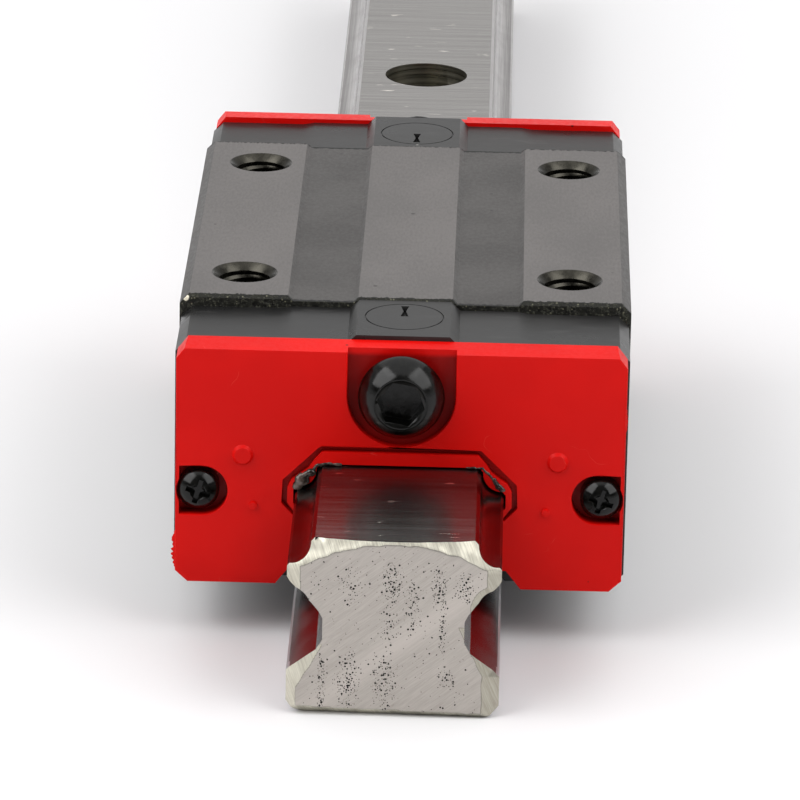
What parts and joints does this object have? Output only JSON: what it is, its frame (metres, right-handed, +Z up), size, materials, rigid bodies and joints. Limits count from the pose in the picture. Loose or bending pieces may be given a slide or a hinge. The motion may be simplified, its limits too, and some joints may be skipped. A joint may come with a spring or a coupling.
{
  "type": "linear guide carriage",
  "caption": "Square linear guide carriage with end caps, red end seals and recirculating balls, sliding on a profiled steel rail with counterbored fixing holes.",
  "frame": {"origin": "centre of the rail's underside", "axes": "+Y along the rail, +Z up out of the mounting face, +X across to the carriage's right side as seen from its front end"},
  "size_m": [0.044, 0.24, 0.03],
  "materials": {
    "rail_steel": "ground",
    "block_steel": "ground and blackened",
    "cap_plastic": "satin moulded",
    "guide_plastic": "moulded",
    "retainer_plastic": "moulded",
    "ball_steel": "polished",
    "plate_steel": "rolled",
    "seal_rubber": "glossy moulded",
    "black_rubber": "moulded",
    "black_screw": "black oxide"
  },
  "bodies": {
    "rail": {"rail": "rail_steel"},
    "carriage": {"carriage_block": "block_steel", "front_end_cap": "cap_plastic", "rear_end_cap": "cap_plastic", "front_left_return_guide": "guide_plastic", "front_right_return_guide": "guide_plastic", "rear_left_return_guide": "guide_plastic", "rear_right_return_guide": "guide_plastic", "upper_left_balls": "ball_steel", "upper_right_balls": "ball_steel", "lower_left_balls": "ball_steel", "lower_right_balls": "ball_steel", "top_ball_retainer": "retainer_plastic", "left_side_retainer": "retainer_plastic", "right_side_retainer": "retainer_plastic", "left_lower_retainer": "retainer_plastic", "right_lower_retainer": "retainer_plastic", "left_bottom_seal": "black_rubber", "right_bottom_seal": "black_rubber", "front_seal_plate": "plate_steel", "rear_seal_plate": "plate_steel", "front_end_seal": "seal_rubber", "rear_end_seal": "seal_rubber", "front_left_cap_screw": "black_screw", "front_right_cap_screw": "black_screw", "rear_left_cap_screw": "black_screw", "rear_right_cap_screw": "black_screw", "front_port_plug": "black_screw", "rear_port_plug": "black_screw"}
  },
  "joints": [
    {"name": "carriage_slide", "type": "slide", "parent": "rail", "child": "carriage", "axis": [0, 1, 0], "range_m": [-0.02, 0.1425]}
  ]
}
